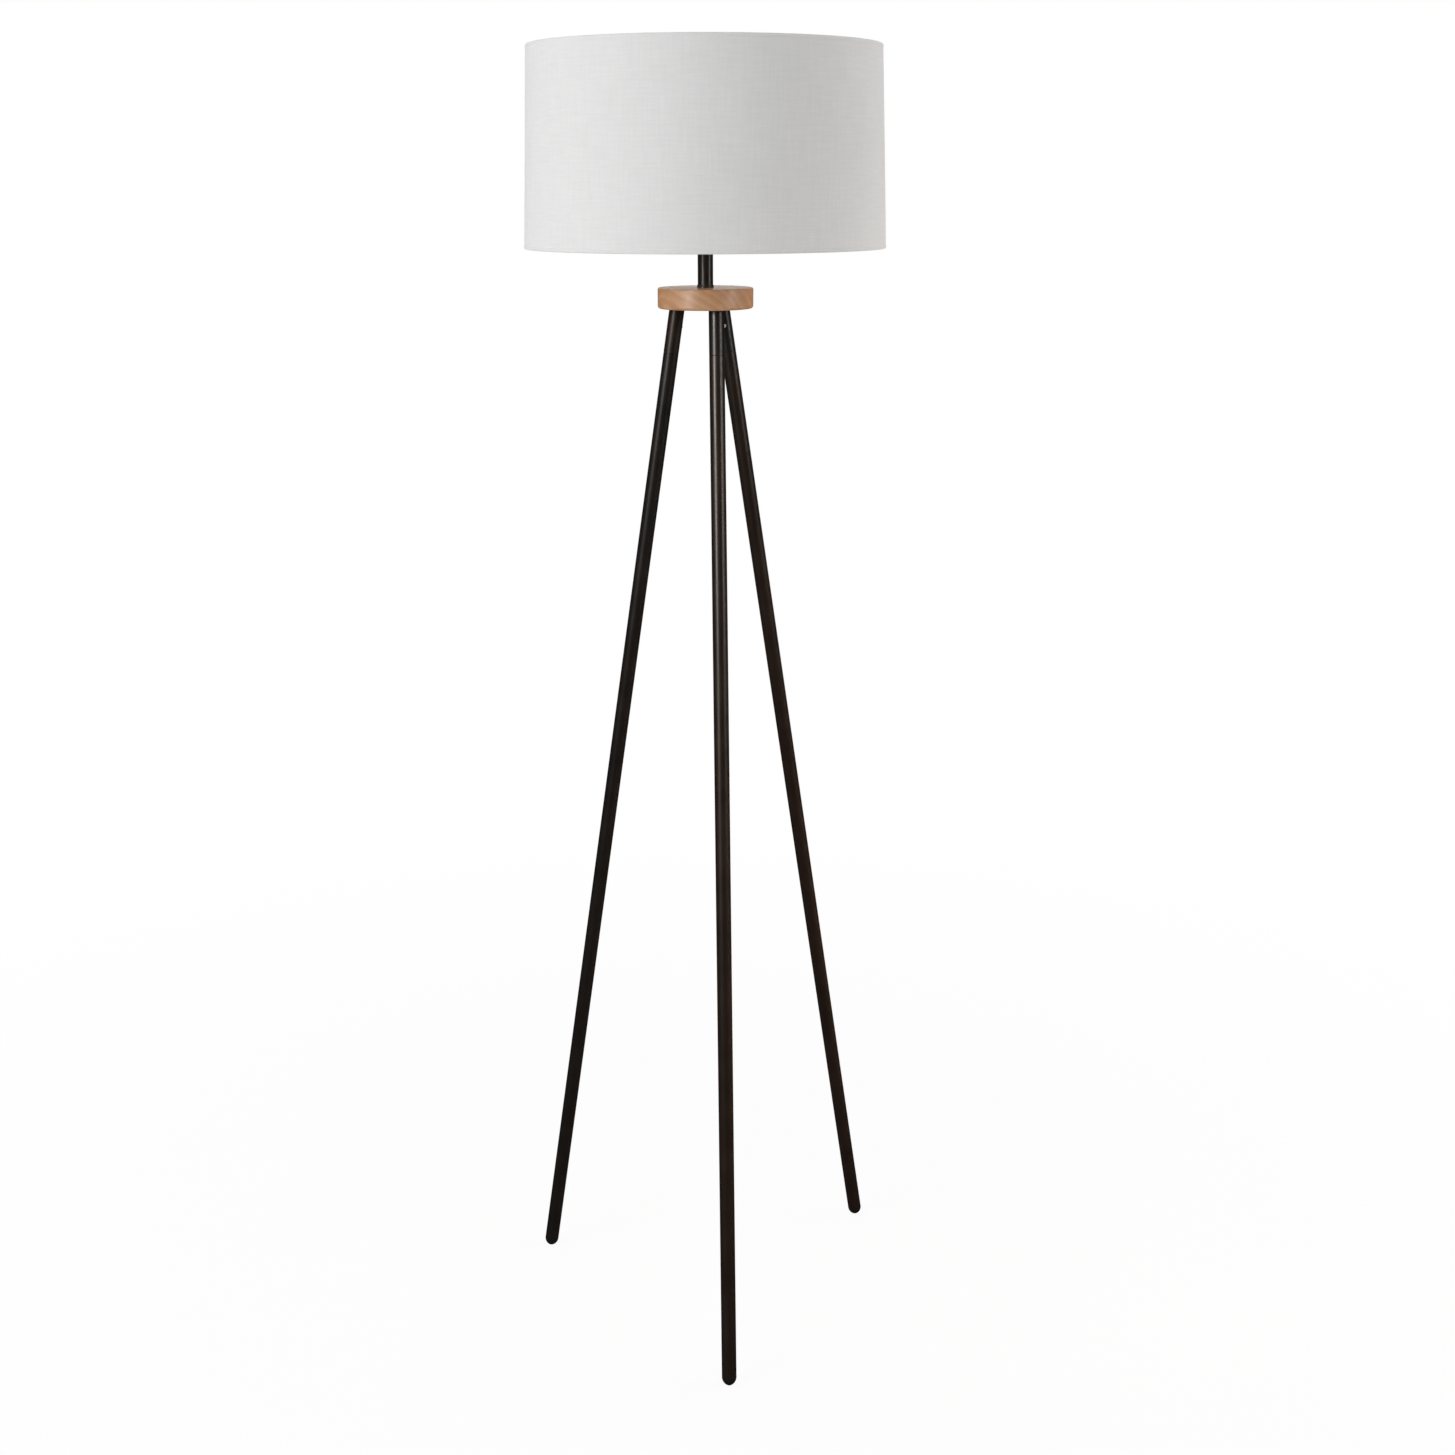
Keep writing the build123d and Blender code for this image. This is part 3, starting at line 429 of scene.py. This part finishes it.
def floor_finish(name, colour, backdrop):
    """A pale floor that brightens with distance until it meets the backdrop."""
    finish = Finish(name)
    spot = finish.place()
    x, y, _ = finish.split(spot)
    grain = finish.noise(spot, scale=5, detail=5)
    dark, light = shades(colour, 0.985, 1.01)
    base = finish.blend(finish.share(grain, 0.35, 0.65), dark, light)
    finish.surface(Base_Color=base, Roughness=0.75, Specular_IOR_Level=0.15)
    away = finish.maths("SQRT", x * x + y * y)
    glowing = finish.node("ShaderNodeMapRange", {"interpolation_type": "SMOOTHERSTEP"}, {
        "Value": away, "From Min": 0.2, "From Max": 2.2, "To Min": 0.93, "To Max": 1.0})
    glow = finish.node("ShaderNodeEmission", None, {"Color": (backdrop,) * 3})
    floor = Value(finish, finish.shader.outputs[0])
    mixed = finish.node("ShaderNodeMixShader", None, {0: glowing, 1: floor, 2: glow})
    finish.feed(finish.tree.nodes["Material Output"].inputs["Surface"], mixed)
    return finish.material


def dress(material, *nodes):
    """Gives CAD nodes a finish."""
    for node in nodes:
        slots = NODES[node].data.materials
        slots.clear()
        slots.append(material)


# ---------------------------------------------------------------- modelling

def add_piece(name, bm, material, body, replaces=(), smooth_angle=35):
    """Makes a piece of the lamp from a bmesh and lets it ride on a body; edges past the angle stay sharp."""
    mesh = bpy.data.meshes.new(name)
    bm.to_mesh(mesh)
    bm.free()
    mesh.materials.append(material)
    mesh.shade_smooth()
    mesh.set_sharp_from_angle(angle=math.radians(smooth_angle))
    piece = bpy.data.objects.new(name, mesh)
    bpy.context.scene.collection.objects.link(piece)
    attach(piece, body)
    if replaces:
        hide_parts(*replaces)
    return piece


def spun(points, steps):
    """A ring-shaped solid: a closed outline in the XZ plane, spun once round Z."""
    bm = bmesh.new()
    verts = [bm.verts.new((x, 0, z)) for x, z in points]
    edges = [bm.edges.new(pair) for pair in zip(verts, verts[1:] + verts[:1])]
    bmesh.ops.spin(
        bm, geom=verts + edges, cent=(0, 0, 0), axis=(0, 0, 1), angle=math.tau, steps=steps,
        use_merge=True)
    bmesh.ops.remove_doubles(bm, verts=bm.verts, dist=1e-6)
    bmesh.ops.recalc_face_normals(bm, faces=bm.faces)
    return bm


class ShadeWall:
    """Places along the shade's slanting wall: up from its bottom edge, and inward."""

    def __init__(self):
        self.bottom_radius = FABRIC_HIGH.x
        self.low = FABRIC_LOW.z
        self.high = FABRIC_HIGH.z
        rise = middle("shade_top_ring").z - middle("shade_bottom_ring").z
        slope = (BOTTOM_RING_HIGH.x - TOP_RING_HIGH.x) / rise
        self.top_radius = self.bottom_radius - slope * (self.high - self.low)
        run = Vector((self.top_radius - self.bottom_radius, self.high - self.low))
        self.length = run.length
        self.up = run.normalized()
        self.inward = Vector((-self.up.y, self.up.x))

    def point(self, along, inward):
        """A place in the XZ plane."""
        start = Vector((self.bottom_radius, self.low))
        return start + self.up * along + self.inward * inward


def cloth_map(bm, wall):
    """A UV map in metres: round the shade at its mean radius, and along the wall."""
    layer = bm.loops.layers.uv.new("Cloth")
    radius = (wall.bottom_radius + wall.top_radius) / 2
    for face in bm.faces:
        middle_angle = math.atan2(face.calc_center_median().y, face.calc_center_median().x)
        for loop in face.loops:
            x, y, z = loop.vert.co
            turn = math.atan2(y, x) - middle_angle
            turn = (turn + math.pi) % math.tau - math.pi
            inward = wall.bottom_radius - math.hypot(x, y)
            along = (z - wall.low) + (inward if abs(face.normal.z) > 0.6 else 0)
            loop[layer].uv = ((middle_angle + turn) * radius, along)


def ripple(angle, *waves):
    """A smooth, repeating unevenness from waves of (count, size, shift)."""
    return sum(size * math.sin(count * angle + shift) for count, size, shift in waves)


def shade_cover(sizes, material):
    """The main cloth: a thin closed shell between the two rolled edges."""
    wall = ShadeWall()
    margin = 1.6 * MM
    sunk = 0.15 * MM
    rows = 48
    steps = [margin + (wall.length - 2 * margin) * row / rows for row in range(rows + 1)]
    outer = [wall.point(step, sunk) for step in steps]
    inner = [wall.point(step, sunk + sizes.cloth) for step in reversed(steps)]
    bm = spun(outer + inner, STEPS_ROUND_SHADE)
    for vert in bm.verts:
        angle = math.atan2(vert.co.y, vert.co.x)
        share = (vert.co.z - wall.low) / (wall.high - wall.low)
        belly = math.sin(math.pi * min(1, max(0, share)))
        swell = belly * ripple(angle, (5, 0.16, 0.7), (11, 0.07, 2.1), (17, 0.04, 4.0)) * MM
        vert.co.xy *= 1 + swell / wall.bottom_radius
    cloth_map(bm, wall)
    return add_piece("shade_cover", bm, material, "shade", ["shade_fabric"])


def shade_edge(name, sizes, material, at_top):
    """A strip of linen rolled round a wire ring, from over the cover's edge to inside it."""
    wall = ShadeWall()
    away = 1 if at_top else -1
    end = wall.length if at_top else 0
    ring = 2.65 * MM
    roll = ring + sizes.edge_proud
    tuck = 0.4 * MM
    inner_reach = 7.5 * MM
    outer_end = end - away * sizes.edge_roll
    inner_end = end - away * inner_reach

    def bend(radius, angles):
        """Round the ring: a tight corner outside, a plain arc inside."""
        for angle in angles:
            turn = math.radians(angle)
            power = 0.5 if angle < 90 else 1.0
            over, side = math.sin(turn) ** power, math.cos(turn) ** power
            yield wall.point(end - away * (ring - radius * over), ring - radius * side)

    outline = [wall.point(outer_end - away * tuck, tuck), wall.point(outer_end, -sizes.edge_proud * 0.7)]
    outline += bend(roll, range(0, 181, 12))
    outline += [wall.point(inner_end, ring + roll), wall.point(inner_end, ring + roll - sizes.cloth)]
    outline += bend(roll - sizes.cloth, range(180, -1, -12))
    bm = spun(outline, STEPS_ROUND_SHADE)
    edge = wall.high if at_top else wall.low
    for vert in bm.verts:
        if abs(vert.co.z - edge) > ring:
            angle = math.atan2(vert.co.y, vert.co.x)
            vert.co.z += ripple(angle, (7, 0.16, 1.0), (19, 0.10, 0.3), (43, 0.05, 2.2)) * MM
    cloth_map(bm, wall)
    return add_piece(name, bm, material, "shade", smooth_angle=50)


def shade_seam(sizes, material):
    """The lap down the back: one end of the cloth, glued over the other with a crisp edge."""
    wall = ShadeWall()
    margin = sizes.edge_roll
    width = sizes.seam_width / wall.bottom_radius
    lift = 0.4 * MM
    sunk = 0.12 * MM
    thickness = 0.3 * MM
    # Across the lap, in seam widths: its foot, the lip above the foot, and where it lies flat again.
    foot, lip, flat = -0.5, -0.465, 0.7
    first_column = -0.45
    back = math.pi / 2
    bm = bmesh.new()
    bmesh.ops.create_grid(bm, x_segments=6, y_segments=60, size=0.5)
    for vert in bm.verts:
        along = margin + (wall.length - 2 * margin) * (vert.co.y + 0.5)
        wave = ripple(along * 90, (1, 0.25, 0.0), (2.7, 0.12, 1.0)) * MM / wall.bottom_radius
        if vert.co.x < first_column:
            across, rise = foot, 0
        else:
            across = max(lip, vert.co.x * 2 * flat)
            rise = lift * (flat - across) / (flat - foot)
        angle = back + width * across + wave
        place = wall.point(along, sunk - rise)
        vert.co = (place.x * math.cos(angle), place.x * math.sin(angle), place.y)
    bmesh.ops.recalc_face_normals(bm, faces=bm.faces)
    bmesh.ops.solidify(bm, geom=bm.faces[:], thickness=thickness)
    bmesh.ops.recalc_face_normals(bm, faces=bm.faces)
    cloth_map(bm, wall)
    return add_piece("shade_seam", bm, material, "shade", smooth_angle=30)


def bulb_screw(sizes, material):
    """The bulb's base with its rolled thread, which runs round as one helix."""
    low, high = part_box("bulb_base")
    radius = high.x
    gap = 0.1 * MM
    depth = 0.55 * MM
    wall = 0.5 * MM
    rows = 72
    # Shares of the base's height: the thread runs in from its bottom, and out just below the top.
    run_in, run_out, thread_end = 0.12, 0.10, 0.80
    steps = [low.z + (high.z - low.z) * row / rows for row in range(rows + 1)]
    outer = [(radius - gap, z) for z in steps]
    inner = [(radius - gap - wall, z) for z in reversed(steps)]
    bm = spun(outer + inner, 96)
    for vert in bm.verts:
        angle = math.atan2(vert.co.y, vert.co.x)
        share = (vert.co.z - low.z) / (high.z - low.z)
        fade = min(1, max(0, share / run_in)) * min(1, max(0, (thread_end - share) / run_out))
        phase = math.tau * (vert.co.z - low.z) / sizes.bulb_thread - angle
        dip = depth * fade * (0.5 - 0.5 * math.cos(phase))
        vert.co.xy *= 1 - dip / radius
    return add_piece("bulb_screw", bm, material, "bulb", ["bulb_base"], smooth_angle=60)


# ---------------------------------------------------------------- operators

class FLOORLAMP_OT_shade(bpy.types.Operator):
    """Covers the shade in linen and finishes its rings, backing and spider"""
    bl_idname = "floorlamp.shade"
    bl_label = "Shade"

    def execute(self, context):
        settings = context.scene.floor_lamp
        sizes, colours = settings.sizes, settings.colours
        linen = linen_finish("Linen", colours.linen, sizes.thread_pitch)
        bias = linen_finish("Linen Edge", colours.linen, sizes.thread_pitch, math.radians(4))
        cover = shade_cover(sizes, linen)
        shade_edge("shade_edge_top", sizes, bias, at_top=True)
        shade_edge("shade_edge_bottom", sizes, bias, at_top=False)
        shade_seam(sizes, linen)
        wall = ShadeWall()
        dress(styrene_finish("Styrene", colours.liner), "shade_liner")
        enamel = painted_finish("White Enamel", colours.enamel, 0.4, peel=0.02 * MM)
        dress(enamel, "shade_top_ring", "shade_bottom_ring", "spider_hub",
              "spider_arm_1", "spider_arm_2", "spider_arm_3")
        return {"FINISHED"}


class FLOORLAMP_OT_hub(bpy.types.Operator):
    """Finishes the wooden disc, the plate let into it and what clamps them"""
    bl_idname = "floorlamp.hub"
    bl_label = "Hub"

    def execute(self, context):
        settings = context.scene.floor_lamp
        sizes, colours = settings.sizes, settings.colours
        dress(wood_finish("Lacquered Wood", colours.wood_light, colours.wood_dark, sizes.ring_spacing),
              "wood_disc")
        dress(painted_finish("Plate Black", colours.black, 0.45, peel=0.05 * MM), "hub_plate")
        dress(metal_finish("Zinc Plate", colours.zinc, 0.36),
              "plate_screws", "hub_washer", "hub_lock_washer", "hub_nut", "threaded_pipe")
        dress(moulded_finish("Outlet Plastic", colours.plastic, 0.5), "cord_bushing")
        return {"FINISHED"}


class FLOORLAMP_OT_legs(bpy.types.Operator):
    """Finishes the stubs, leg tubes and tips"""
    bl_idname = "floorlamp.legs"
    bl_label = "Legs"

    def execute(self, context):
        colours = context.scene.floor_lamp.colours
        for name in LEG_NAMES:
            tube, insert = f"leg_tube_{name}", f"leg_insert_{name}"
            down_leg = {"centre": middle(tube), "turn": leg_turn(tube, insert)}
            bronze = painted_finish(
                f"Dark Bronze {name}", colours.bronze, 0.36, tint=BRONZE_SHINE, **down_leg)
            black = painted_finish(
                f"Stub Black {name}", colours.black, 0.36, tint=BLACK_SHINE, **down_leg)
            below, above = (black, bronze) if name == SWAPPED_LEG else (bronze, black)
            dress(below, tube)
            dress(above, f"leg_stub_{name}")
            dress(metal_finish(f"Leg Joint {name}", colours.zinc, 0.4), f"leg_connector_{name}", insert)
        dress(moulded_finish("Tip Plastic", colours.plastic, 0.42), *[f"foot_tip_{n}" for n in LEG_NAMES])
        dress(metal_finish("Set Screw Nickel", colours.nickel, 0.5, metallic=0.35), "leg_set_screws")
        return {"FINISHED"}


class FLOORLAMP_OT_pole(bpy.types.Operator):
    """Finishes the pole, its seat ring and its cap"""
    bl_idname = "floorlamp.pole"
    bl_label = "Pole"

    def execute(self, context):
        colours = context.scene.floor_lamp.colours
        black = painted_finish("Pole Black", colours.black, 0.34, tint=BLACK_SHINE)
        dress(black, "pole_tube", "seat_ring", "pole_cap")
        return {"FINISHED"}


class FLOORLAMP_OT_harp(bpy.types.Operator):
    """Finishes the harp, its saddle and sleeves, and the finial"""
    bl_idname = "floorlamp.harp"
    bl_label = "Harp"

    def execute(self, context):
        colours = context.scene.floor_lamp.colours
        nickel = metal_finish("Nickel", colours.nickel, 0.28)
        dress(nickel, "harp_bow", "harp_saddle", "harp_stud", "harp_sleeve_left", "harp_sleeve_right",
              "finial")
        dress(metal_finish("Saddle Nut Zinc", colours.zinc, 0.36), "saddle_nut")
        return {"FINISHED"}


class FLOORLAMP_OT_lampholder(bpy.types.Operator):
    """Finishes the lampholder and its switch"""
    bl_idname = "floorlamp.lampholder"
    bl_label = "Lampholder"

    def execute(self, context):
        colours = context.scene.floor_lamp.colours
        brass = metal_finish("Brass", colours.brass, 0.3)
        dress(brass, "holder_cap", "holder_shell", "screw_shell", "centre_contact", "terminal_screws")
        dress(metal_finish("Cap Screw Zinc", colours.zinc, 0.36), "cap_screw", "switch_shaft")
        dress(paper_finish("Insulating Paper"), "holder_paper")
        dress(moulded_finish("Phenolic", (0.035, 0.022, 0.016), 0.35), "holder_body")
        dress(moulded_finish("Knob Plastic", colours.plastic, 0.4), "switch_knob")
        return {"FINISHED"}


class FLOORLAMP_OT_bulb(bpy.types.Operator):
    """Finishes the bulb and rolls its thread"""
    bl_idname = "floorlamp.bulb"
    bl_label = "Bulb"

    def execute(self, context):
        settings = context.scene.floor_lamp
        sizes, colours = settings.sizes, settings.colours
        aluminium = metal_finish("Aluminium", (0.72, 0.72, 0.73), 0.34)
        bulb_screw(sizes, aluminium)
        dress(milky_finish("Milky Globe", colours.bulb), "bulb_globe")
        dress(moulded_finish("Bulb Insulator", (0.012, 0.012, 0.014), 0.3), "bulb_insulator")
        dress(metal_finish("Bulb Tip", colours.zinc, 0.3), "bulb_contact")
        return {"FINISHED"}


def add_light(name, place, target, size, power, colour=(1, 1, 1), diffuse=True, glossy=True, spread=180):
    """A soft rectangular light that faces a point; its spread is in degrees."""
    data = bpy.data.lights.new(name, "AREA")
    data.shape = "RECTANGLE"
    data.size, data.size_y = size
    data.energy = power
    data.color = colour
    data.spread = math.radians(spread)
    light = bpy.data.objects.new(name, data)
    light.location = place
    light.rotation_euler = (Vector(target) - Vector(place)).to_track_quat("-Z", "Y").to_euler()
    light.visible_diffuse = diffuse
    light.visible_glossy = glossy
    light.visible_camera = False
    bpy.context.scene.collection.objects.link(light)


def around(azimuth, distance, height):
    """A place round the pole: azimuth 0 is towards the camera and 90 to the right."""
    turn = math.radians(azimuth)
    return distance * math.sin(turn), -distance * math.cos(turn), height


def set_lights():
    """Soft light from both sides, strips and cards that only gloss sees, and a glow on the front leg."""
    waist = (0, 0, 1.25)
    add_light("window", around(-53, 2.7, 1.5), waist, (1.7, 2.2), 40, (0.988, 0.993, 1.0), glossy=False)
    add_light("right bounce", around(102, 2.8, 1.6), waist, (1.4, 2.2), 28, (1.0, 0.95, 0.92), glossy=False)
    add_light("left strip", around(-41, 2.4, 1.93), around(-41, 0.1, 1.55), (0.34, 1.5), 66, diffuse=False)
    add_light("right strip", around(66, 2.4, 1.8), around(66, 0.1, 1.5), (0.26, 1.6), 24, diffuse=False)
    add_light("back card", around(180, 3.0, 1.9), (0, 0, 1.5), (2.4, 1.0), 16, diffuse=False)
    add_light("top card", around(0, 0, 3.2), (0, 0, 1.4), (1.6, 1.6), 12, diffuse=False)
    add_light("low bounce", around(80, 1.5, 0.5), (0, 0, 0.5), (0.5, 0.7), 2.1, (1.0, 0.74, 0.56),
              glossy=False, spread=50)


def set_world(stage):
    """Light from all round, fainter to gloss, with a plain bright background."""
    world = bpy.data.worlds.new("Studio")
    world.use_nodes = True
    bpy.context.scene.world = world
    nodes = Nodes(world.node_tree)
    from_camera = nodes.node("ShaderNodeLightPath", output="Is Camera Ray")
    from_gloss = nodes.node("ShaderNodeLightPath", output="Is Glossy Ray")
    strength = (from_camera * (stage.backdrop - stage.fill) + from_gloss * (stage.shine - stage.fill)
                + stage.fill)
    background = world.node_tree.nodes["Background"]
    nodes.feed(background.inputs["Color"], (1, 1, 1))
    nodes.feed(background.inputs["Strength"], strength)


def set_camera(stage):
    """The camera: its place, and which way it looks, leans and magnifies."""
    data = bpy.data.cameras.new("Camera")
    data.sensor_width = SENSOR_MM
    data.lens = stage.camera_lens
    data.clip_start, data.clip_end = 0.05, 60
    camera = bpy.data.objects.new("Camera", data)
    upright = Matrix.Rotation(math.pi / 2 - stage.camera_down, 4, "X")
    turned = Matrix.Rotation(-stage.camera_right, 4, "Z")
    rolled = Matrix.Rotation(-stage.camera_roll, 4, "Z")
    place = Matrix.Translation((0, -stage.camera_distance, stage.camera_height))
    camera.matrix_world = place @ turned @ upright @ rolled
    bpy.context.scene.collection.objects.link(camera)
    bpy.context.scene.camera = camera


class FLOORLAMP_OT_stage(bpy.types.Operator):
    """Adds the pale floor, the soft lights and the camera"""
    bl_idname = "floorlamp.stage"
    bl_label = "Stage"

    def execute(self, context):
        stage = context.scene.floor_lamp.stage
        set_camera(stage)
        set_world(stage)
        set_lights()
        bm = bmesh.new()
        bmesh.ops.create_circle(bm, cap_ends=True, segments=128, radius=stage.floor_radius)
        mesh = bpy.data.meshes.new("floor")
        bm.to_mesh(mesh)
        bm.free()
        mesh.materials.append(floor_finish("Pale Floor", stage.floor_colour, stage.backdrop))
        floor = bpy.data.objects.new("floor", mesh)
        floor.visible_glossy = False
        floor.visible_diffuse = False
        context.scene.collection.objects.link(floor)
        context.scene.view_settings.view_transform = "Standard"
        return {"FINISHED"}


class FLOORLAMP_PT_panel(bpy.types.Panel):
    """Lists the lamp's pieces and its settings"""
    bl_idname = "FLOORLAMP_PT_panel"
    bl_label = "Tripod Floor Lamp"
    bl_space_type = "VIEW_3D"
    bl_region_type = "UI"
    bl_category = "Floor Lamp"

    def draw(self, context):
        settings = context.scene.floor_lamp
        for operator in OPERATORS:
            self.layout.operator(operator.bl_idname)
        for group in (settings.sizes, settings.colours, settings.stage):
            box = self.layout.box()
            for key in group.bl_rna.properties.keys():
                if key not in ("name", "rna_type"):
                    box.prop(group, key)


OPERATORS = (
    FLOORLAMP_OT_stage, FLOORLAMP_OT_shade, FLOORLAMP_OT_hub, FLOORLAMP_OT_legs, FLOORLAMP_OT_pole,
    FLOORLAMP_OT_harp, FLOORLAMP_OT_lampholder, FLOORLAMP_OT_bulb,
)
CLASSES = (LampSizes, LampColours, LampStage, LampSettings, *OPERATORS, FLOORLAMP_PT_panel)


def register():
    for cls in CLASSES:
        bpy.utils.register_class(cls)
    bpy.types.Scene.floor_lamp = bpy.props.PointerProperty(type=LampSettings)


def unregister():
    del bpy.types.Scene.floor_lamp
    for cls in reversed(CLASSES):
        bpy.utils.unregister_class(cls)


def main():
    register()
    bpy.ops.floorlamp.stage()
    bpy.ops.floorlamp.shade()
    bpy.ops.floorlamp.hub()
    bpy.ops.floorlamp.legs()
    bpy.ops.floorlamp.pole()
    bpy.ops.floorlamp.harp()
    bpy.ops.floorlamp.lampholder()
    bpy.ops.floorlamp.bulb()


if __name__ == "__main__":
    main()
